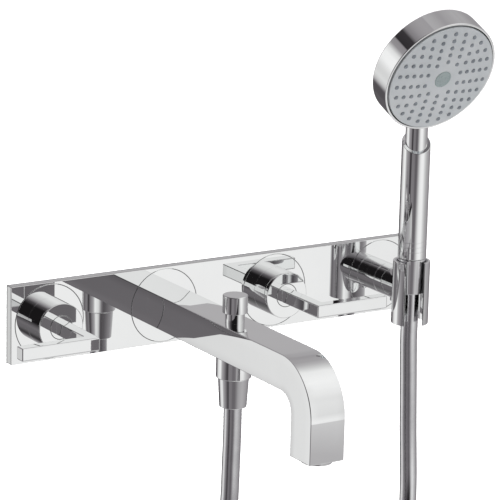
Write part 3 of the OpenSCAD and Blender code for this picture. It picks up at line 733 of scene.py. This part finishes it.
at_diverter = upright(*DIVERTER)
collar = rod("diverter_collar_turned", 7.5, 13.7, 20.95, at_diverter, 0.1, 0.5, 72)
piece(collar, "mixer", CHROME, "diverter_collar")
knob = rod("diverter_knob_turned", 9.7, 21.05, 34.85, at_diverter, 0.5, 0.9)
piece(knob, "diverter", CHROME, "diverter_knob")
outlet = lathe("shower_outlet_turned", outline([
    (0, -41.7), (10, -41.7, 0.4), (10, -29.7, 0.2), (13.6, -29.7, 0.55), (13.6, -13.7, 0.1),
    (0, -13.7)], 6, False), at_diverter)
piece(outlet, "mixer", CHROME, "shower_outlet")
nut = lathe("lower_nut_turned", outline([
    (7.1, -53, 0.25), (10.5, -53, 0.5), (11.9, -30.1, 0.4), (10.1, -30.1, 0.2)], 6),
    at_diverter, closed=True)
piece(nut, "mixer", CHROME, "lower_hose_nut")


# ---------- holder ----------

base = rod("holder_base_turned", 13, PLATE_FRONT, 19.6, outward(HOLDER), 0.1, 0.35)
piece(base, "mixer", CHROME, "holder_base")
friction = ring_piece("holder_ring", 12.55, 4.1, 19.6, 20.4, outward(HOLDER), 0.12)
piece(friction, "mixer", CHROME_EDGE, "holder_friction_ring")


def holder_arm():
    # a cylinder out from the ring that ends against the clip's tube
    r, back, edge, clip_r, sides = 13.0, 20.4, 0.35, 14.9, 120
    profile = []
    for k in range(5):
        t = pi / 2 * k / 4
        profile.append((r - edge * (1 - math.sin(t)), back + edge * (1 - math.cos(t)),
                        math.sin(t), -math.cos(t)))
    verts, normals = [], []
    stack = turned_rings(verts, normals, profile, sides)
    stack.append(wall_ring(verts, normals, sides, r,
                           lambda c, s: CLIP_OUT - math.sqrt(clip_r ** 2 - (r * c) ** 2)))
    return build("holder_arm_turned", verts, normals, skin(stack) + ends(stack),
                 outward(HOLDER))


piece(holder_arm(), "holder", CHROME, "holder_arm")


def c_section(r_out, r_in, width, middle, corner):
    """A tube's section with a slot of the given width, whose middle is at the given angle."""
    a_out, a_in = (math.degrees(math.asin(width / 2 / r)) for r in (r_out, r_in))

    def lip(r, degrees):
        a = math.radians(middle + degrees)
        return (r * math.cos(a), r * math.sin(a), corner)

    pts = arc(r_out, middle + a_out + 1.5, middle + 360 - a_out - 1.5)
    pts += [lip(r_out, 360 - a_out), lip(r_in, 360 - a_in)]
    pts += arc(r_in, middle + 360 - a_in - 2, middle + a_in + 2, inward=True)
    pts += [lip(r_in, a_in), lip(r_out, a_out)]
    return outline(pts, 4)


# the slot looks out from the wall, turned 20 degrees to the left
SLOT = -90 - 20
at_clip = upright(*CLIP)
clip = slab("holder_clip_milled", [c_section(15.1, 12.9, 15, SLOT, 0.35)], -28.5, 23.6, 0.4,
            at_clip)
piece(clip, "holder", CHROME, "holder_clip")
liner = slab("holder_liner_moulded", [c_section(12.8, 11.6, 15.2, SLOT, 0.3)], -6, 23.5, 0.25,
             at_clip)
piece(liner, "holder", DARK_PLASTIC, "holder_liner")
screw = rod("holder_screw_turned", 3.0, -16, -12.9, upright(HOLDER, -30.4), 0.5, 0.1, 48)
piece(screw, "holder", CHROME, "holder_lock_screw")


# ---------- hand shower ----------

cone = lathe("cone_nut_turned", outline([
    (7.05, -3, 0.25), (10.2, -3, 0.5), (11.2, 25.7, 0.4), (7.9, 25.7, 0.2), (7.9, 29.7, 0.3),
    (7.05, 29.7, 0.2)], 6), at_clip, closed=True)
piece(cone, "hose_cone", CHROME, "upper_cone_nut")


def grip():
    # a sleeve with three fine grooves near its lower end, and a slanted top whose low side is
    # turned to the left
    bore, edge, groove, depth, sides = 9.12, 0.35, 0.35, 0.3, 120
    slope = math.tan(GRIP_SLANT)
    corners = [(bore, GRIP_LOW), (GRIP_R, GRIP_LOW, 0.5)]
    for z in (32.3, 36.3, 40.3):
        corners += [(GRIP_R, z - groove, 0.1), (GRIP_R - depth, z - groove, 0.1),
                    (GRIP_R - depth, z + groove, 0.1), (GRIP_R, z + groove, 0.1)]
    side = outline(corners + [(GRIP_R, MID_HEIGHT)], 5, False)[:-1]
    verts, normals = [], []
    stack = turned_rings(verts, normals, side, sides)

    def top(r, c, s):
        return GRIP_TOP + slope * r * (s * math.cos(GRIP_TURN) + c * math.sin(GRIP_TURN))

    up = Vector((-slope * math.sin(GRIP_TURN), -slope * math.cos(GRIP_TURN), 1)).normalized()
    for k in range(5):
        t = pi / 2 * k / 4
        r, below = GRIP_R - edge * (1 - math.cos(t)), edge * 1.2 * (1 - math.sin(t))
        stack.append(round_ring(verts, normals, sides, lambda c, s: (
            (r * c, r * s, top(GRIP_R, c, s) - below),
            Vector((c, s, 0)) * math.cos(t) + up * math.sin(t))))
    stack.append(round_ring(verts, normals, sides,
                            lambda c, s: ((bore * c, bore * s, top(bore, c, s)), up)))
    for height in (lambda c, s: top(bore, c, s) - 0.05, lambda c, s: MID_HEIGHT,
                   lambda c, s: GRIP_LOW + 0.3):
        stack.append(wall_ring(verts, normals, sides, bore, height, -1))
    return build("grip_sleeve", verts, normals, skin(stack, closed=True), at_clip)


piece(grip(), "hand_shower", CHROME, "shower_grip")


def neck():
    # runs up into the head's drum and ends just inside its wall
    sides, wall = 96, 48.7
    st, ct = math.sin(TILT), math.cos(TILT)

    def in_drum(c, s):
        across, out = NECK_R * c, NECK_R * s + CLIP[1] - FACE.y
        return FACE.z + (out * st - math.sqrt(wall ** 2 - across * across)) / ct

    verts, normals = [], []
    stack = [wall_ring(verts, normals, sides, NECK_R, height)
             for height in (lambda c, s: NECK_LOW, lambda c, s: MID_HEIGHT, in_drum)]
    return build("neck_tube", verts, normals, skin(stack) + ends(stack), at_clip)


piece(neck(), "hand_shower", CHROME, "shower_neck")
# local +Z points back into the head, local Y points down the face
at_face = Matrix.Translation(FACE) @ Matrix((
    (1, 0, 0, 0), (0, math.sin(TILT), math.cos(TILT), 0),
    (0, -math.cos(TILT), math.sin(TILT), 0), (0, 0, 0, 1)))
shell = lathe("head_drum", outline([
    (0, 3.3), (48.25, 3.3, 0.1), (48.25, 0, 0.25), (HEAD_R, 0, 0.6), (HEAD_R, HEAD_DEPTH, 1.4),
    (0, HEAD_DEPTH)], 8, False), at_face, 192)
piece(shell, "hand_shower", CHROME, "head_shell")
head_seal = ring_piece("head_seal", 48.3, 47.2, 2.2, 3.2, at_face, 0.2, 160)
piece(head_seal, "hand_shower", RUBBER)


def dome_at(r):
    # how far the domed face stands in front of the rim
    return DOME_RISE - DOME_R + math.sqrt(DOME_R ** 2 - r * r)


dome = [(r, -dome_at(r), r / DOME_R, -math.sqrt(1 - (r / DOME_R) ** 2))
        for r in range(0, 46, 3)]
face = lathe("spray_plate", outline(dome + [
    (FACE_R, -dome_at(FACE_R), 0.5), (FACE_R, 3.1, 0.1), (0, 3.1)], 6, False), at_face, 160)
piece(face, "hand_shower", FACE_GREY, "spray_face")


def nozzles():
    # rings of soft nubs, each with its water hole, standing on the dome
    section = outline([
        (0, 0.1), (0.35, 0.1, 0.05), (0.35, -0.7, 0.1), (1.4, -0.7, 0.35), (1.95, 0.2, 0.25),
        (1.97, 0.6, 0.1), (0, 0.6)], 4, False)
    verts, normals, faces = [], [], []
    for i in range(NOZZLE_RINGS):
        out, count = NOZZLE_INNER + NOZZLE_STEP * i, NOZZLES_FIRST + NOZZLES_MORE * i
        for k in range(count):
            a = 2 * pi * (k + 0.5) / count
            middle = (out * math.cos(a), out * math.sin(a))
            faces += skin(turned_rings(verts, normals, section, 20, middle, dome_at(out)))
    return build("spray_nozzles", verts, normals, faces, at_face)


piece(nozzles(), "hand_shower", NOZZLE, "nozzle_mat")
cap = lathe("centre_cap", outline([
    (0, -4.0), (7.0, -3.95, 0.8), (7.6, -3.3, 0.1), (0, -3.3)], 5, False), at_face)
piece(cap, "hand_shower", CAP, "face_cap")


# ---------- what shows behind: threaded tails ----------

crest_r, root_r, thread_pitch = 10.42, 9.75, 1.81
tail = [(0, -14), (9.2, -14, 0.3), (10.2, -13.2, 0.2)]
z = -12.9
while z < -1.5:
    tail += [(crest_r, z, 0.12), (root_r, z + 0.9, 0.12)]
    z += thread_pitch
tail += [(10.0, 0.4, 0.2), (10.0, 1.0, 0.1), (0, 1.0)]
for side, x in (("left", LEFT), ("right", RIGHT)):
    thread = lathe(f"{side}_tail_thread", outline(tail, 3, False), outward(x), 72)
    piece(thread, "mixer", BRASS_TURNED)


# ---------- CAD nodes that stay as they are ----------

FINISH = {
    "plate_gasket": RUBBER, "manifold_body": BRASS, "wall_bracket": STEEL,
    "left_valve_body": BRASS_TURNED, "right_valve_body": BRASS_TURNED,
    "left_cartridge_body": PLASTIC, "right_cartridge_body": PLASTIC,
    "valve_seals": RUBBER, "ceramic_fixed_discs": CERAMIC, "cartridge_nuts": BRASS_TURNED,
    "grub_screws": STEEL, "left_spindle": BRASS_TURNED, "right_spindle": BRASS_TURNED,
    "left_ceramic_disc": CERAMIC, "right_ceramic_disc": CERAMIC, "aerator_washer": RUBBER,
    "diverter_body": BRASS, "diverter_rod": STEEL, "diverter_piston": RUBBER,
    "diverter_spring": STEEL, "check_valve": PLASTIC, "lower_hose_washer": RUBBER,
    "lower_hose_ferrule": BRASS_TURNED, "holder_bolt": STEEL, "upper_hose_washer": RUBBER,
}
for name, mat in FINISH.items():
    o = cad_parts[name]
    o.data.materials.clear()
    o.data.materials.append(mat)
    o.data.polygons.foreach_set("material_index", [0] * len(o.data.polygons))


# ---------- studio ----------

# The room round the object as the chrome mirrors it: one row for each elevation, with stops of
# (azimuth, brightness). Angles are in degrees. Pale walls and cards stand to the left
# behind and to the right, and a dark gap lies between them in front.
ROOM = [
    (-75, [(-180, 0.45), (-60, 0.50), (-20, 0.85), (90, 0.85), (180, 0.45)]),
    (-52, [(-180, 0.20), (-130, 0.35), (-60, 0.35), (-20, 0.50), (20, 0.80), (60, 0.80),
           (110, 0.40), (180, 0.20)]),
    (-32, [(-180, 0.12), (-165, 0.06), (-150, 0.25), (-130, 0.60), (-115, 0.40), (-100, 0.25),
           (-75, 0.08), (-60, 0.20), (-35, 0.15), (-25, 0.14), (-10, 0.04), (-3, 0.03), (5, 0.10),
           (16, 0.24), (40, 0.45), (80, 0.30), (140, 0.15), (180, 0.12)]),
    (-21, [(-180, 0.08), (-163, 0.10), (-154, 0.45), (-147, 0.74), (-135, 0.80), (-129, 0.88),
           (-123, 0.80), (-117, 0.50), (-111, 0.36), (-99, 0.28), (-79, 0.08), (-69, 0.05),
           (-62, 0.20), (-45, 0.20), (-36, 0.14), (-21, 0.15), (-9, 0.28), (3, 0.40), (12, 0.43),
           (50, 0.43), (69, 0.38), (90, 0.32), (110, 0.25), (166, 0.10), (180, 0.10)]),
    (-18.5, [(-180, 0.09), (-165, 0.17), (-156, 0.50), (-147, 0.77), (-135, 0.83), (-129, 0.90),
             (-123, 0.84), (-117, 0.55), (-111, 0.38), (-99, 0.28), (-79, 0.08), (-69, 0.05),
             (-62, 0.21), (-45, 0.21), (-36, 0.15), (-21, 0.17), (-9, 0.36), (3, 0.55),
             (12, 0.50), (20, 0.46), (45, 0.46), (60, 0.46), (90, 0.33), (110, 0.25), (166, 0.10),
             (180, 0.10)]),
    (-16.9, [(-180, 0.10), (-167, 0.20), (-158, 0.45), (-153, 0.62), (-147, 0.77), (-135, 0.84),
             (-129, 0.91), (-123, 0.86), (-117, 0.57), (-111, 0.39), (-99, 0.28), (-79, 0.08),
             (-69, 0.05), (-62, 0.21), (-45, 0.21), (-36, 0.15), (-21, 0.18), (-9, 0.42),
             (3, 0.70), (12, 0.84), (24, 0.87), (33, 0.86), (40, 0.72), (57, 0.52), (90, 0.34),
             (110, 0.25), (166, 0.11), (180, 0.10)]),
    (-14, [(-180, 0.10), (-168, 0.24), (-159, 0.42), (-153, 0.62), (-147, 0.77), (-135, 0.84),
           (-129, 0.92), (-123, 0.88), (-117, 0.58), (-111, 0.39), (-99, 0.28), (-86, 0.23),
           (-79, 0.08), (-75, 0.04), (-69, 0.05), (-62, 0.22), (-45, 0.22), (-36, 0.15),
           (-28, 0.13), (-21, 0.18), (-9, 0.48), (3, 0.78), (12, 0.88), (24, 0.90), (33, 0.89),
           (40, 0.74), (57, 0.53), (69, 0.42), (90, 0.34), (110, 0.25), (166, 0.11),
           (180, 0.10)]),
    (-4, [(-180, 0.12), (-160, 0.25), (-143, 0.60), (-137, 0.78), (-133, 0.92), (-125, 0.88),
          (-117, 0.55), (-108, 0.35), (-90, 0.25), (-80, 0.08), (-70, 0.04), (-60, 0.10),
          (-45, 0.05), (-38, 0.01), (-12, 0.01), (-7, 0.20), (3, 0.60), (15, 0.82), (25, 0.85),
          (34, 0.72), (45, 0.62), (60, 0.50), (80, 0.38), (100, 0.30), (130, 0.25), (148, 0.40),
          (165, 0.20), (180, 0.12)]),
    (15, [(-180, 0.20), (-150, 0.30), (-140, 0.60), (-133, 0.94), (-125, 0.90), (-115, 0.45),
          (-100, 0.22), (-80, 0.06), (-60, 0.01), (-9, 0.01), (-3, 0.10), (5, 0.45), (15, 0.75),
          (25, 0.85), (35, 0.78), (50, 0.65), (70, 0.50), (90, 0.40), (115, 0.30), (128, 0.34),
          (140, 0.43), (150, 0.44), (165, 0.33), (180, 0.20)]),
    (22, [(-180, 0.20), (-150, 0.28), (-140, 0.50), (-133, 0.80), (-125, 0.75), (-115, 0.40),
          (-100, 0.18), (-80, 0.04), (-60, 0.01), (-12, 0.01), (-5, 0.10), (5, 0.45), (15, 0.72),
          (25, 0.82), (35, 0.78), (50, 0.70), (70, 0.58), (90, 0.45), (115, 0.36), (128, 0.38),
          (150, 0.43), (165, 0.33), (180, 0.20)]),
    (29, [(-180, 0.25), (-150, 0.28), (-126, 0.31), (-100, 0.15), (-40, 0.01), (-18, 0.01),
          (-8, 0.08), (0, 0.32), (10, 0.62), (25, 0.78), (38, 0.83), (50, 0.85), (70, 0.75),
          (90, 0.60), (115, 0.45), (130, 0.40), (141, 0.40), (180, 0.25)]),
    (36, [(-180, 0.26), (-150, 0.24), (-126, 0.27), (-100, 0.12), (-40, 0.02), (-20, 0.03),
          (-8, 0.12), (0, 0.34), (10, 0.62), (25, 0.78), (38, 0.86), (50, 0.88), (70, 0.78),
          (90, 0.62), (115, 0.45), (130, 0.38), (141, 0.38), (180, 0.26)]),
    (38, [(-180, 0.26), (-160, 0.20), (-145, 0.06), (-126, 0.03), (-100, 0.04), (-60, 0.04),
          (-20, 0.08), (0, 0.36), (20, 0.70), (45, 0.90), (70, 0.82), (90, 0.66), (110, 0.50),
          (125, 0.42), (135, 0.34), (150, 0.35), (180, 0.26)]),
    (50, [(-180, 0.34), (-160, 0.25), (-145, 0.08), (-127, 0.04), (-100, 0.06), (-60, 0.10),
          (-20, 0.30), (20, 0.70), (50, 0.94), (70, 0.92), (90, 0.74), (110, 0.52), (125, 0.38),
          (150, 0.35), (180, 0.34)]),
    (55, [(-180, 0.37), (-150, 0.28), (-130, 0.22), (-100, 0.22), (-60, 0.25), (-20, 0.45),
          (20, 0.72), (60, 0.92), (85, 0.88), (100, 0.66), (116, 0.46), (132, 0.34), (150, 0.36),
          (180, 0.37)]),
    (62, [(-180, 0.39), (-150, 0.32), (-130, 0.29), (-100, 0.28), (-60, 0.30), (-20, 0.50),
          (20, 0.70), (60, 0.90), (85, 0.85), (100, 0.65), (116, 0.45), (132, 0.34), (150, 0.36),
          (180, 0.39)]),
    (74, [(-180, 0.34), (-140, 0.37), (-100, 0.38), (60, 0.60), (120, 0.42), (176, 0.43),
          (180, 0.34)]),
]


def studio():
    w = bpy.data.worlds.new("studio")
    scene.world = w
    w.use_nodes = True
    t = w.node_tree
    t.nodes.clear()
    out = t.nodes.new("ShaderNodeOutputWorld")
    where = node(t, "ShaderNodeTexCoord").outputs["Generated"]
    part = node(t, "ShaderNodeSeparateXYZ", {0: where}).outputs
    back = node(t, "ShaderNodeMath", {0: part["Y"], 1: -1.0}, operation="MULTIPLY").outputs[0]
    turn = node(t, "ShaderNodeMath", {0: part["X"], 1: back}, operation="ARCTAN2").outputs[0]
    fac = node(t, "ShaderNodeMapRange",
               {"Value": turn, "From Min": -pi, "From Max": pi}).outputs["Result"]
    rise = node(t, "ShaderNodeMath", {0: part["Z"]}, operation="ARCSINE").outputs[0]
    mix = below = None
    for elevation, row in ROOM:
        # the dark parts are a little warm
        level = tones(t, fac, *[((azimuth + 180) / 360, (v, v * min(1, 0.91 + 0.15 * v), v))
                                for azimuth, v in row])
        if mix is None:
            mix = level
        else:
            blend = node(t, "ShaderNodeMapRange", {
                "Value": rise, "From Min": math.radians(below),
                "From Max": math.radians(elevation)}).outputs["Result"]
            mix = node(t, "ShaderNodeMix", {0: blend, 6: mix, 7: level},
                       data_type="RGBA").outputs[2]
        below = elevation
    # the background itself is plain white
    seen = node(t, "ShaderNodeLightPath").outputs["Is Camera Ray"]
    mix = node(t, "ShaderNodeMix", {0: seen, 6: mix, 7: (1, 1, 1, 1)},
               data_type="RGBA").outputs[2]
    bg = node(t, "ShaderNodeBackground", {"Color": mix, "Strength": 1.0})
    t.links.new(bg.outputs[0], out.inputs["Surface"])


studio()


def floor():
    size, gap = 9, 0.002
    bm = bmesh.new()
    bmesh.ops.create_grid(bm, x_segments=24, y_segments=24, size=size)
    me = bpy.data.meshes.new("floor")
    bm.to_mesh(me)
    bm.free()
    o = bpy.data.objects.new("floor", me)
    scene.collection.objects.link(o)
    o.location = (0, 0, cad_box[0].z - gap)
    m, t, bsdf, where = material("floor_pale")
    colour = tones(t, noise(t, where, 3, 4), (0.3, (0.90, 0.90, 0.90)), (0.7, (0.94, 0.94, 0.94)))
    t.links.new(colour, bsdf.inputs["Base Color"])
    bsdf.inputs["Roughness"].default_value = 0.9
    bsdf.inputs["Specular IOR Level"].default_value = 0.1
    me.materials.append(m)
    o.visible_glossy = False


floor()


def area(name, place, target, size, power):
    """A soft light that the chrome doesn't mirror."""
    data = bpy.data.lights.new(name, "AREA")
    data.shape = "RECTANGLE"
    data.size = data.size_y = size
    data.energy = power
    o = bpy.data.objects.new(name, data)
    scene.collection.objects.link(o)
    o.location = place
    o.rotation_mode = "QUATERNION"
    o.rotation_quaternion = (Vector(target) - Vector(place)).to_track_quat("-Z", "Y")
    o.visible_glossy = False


area("key_overhead", (0.2, 0.6, 3.6), (0.1, 1.0, 0), 4.0, 210)
area("key_behind", (-1.4, 3.6, 3.4), (-1.2, 3.6, -0.4), 4.0, 190)
area("fill_front", (0.9, -2.2, 0.4), (0, 0, 0), 1.6, 10)
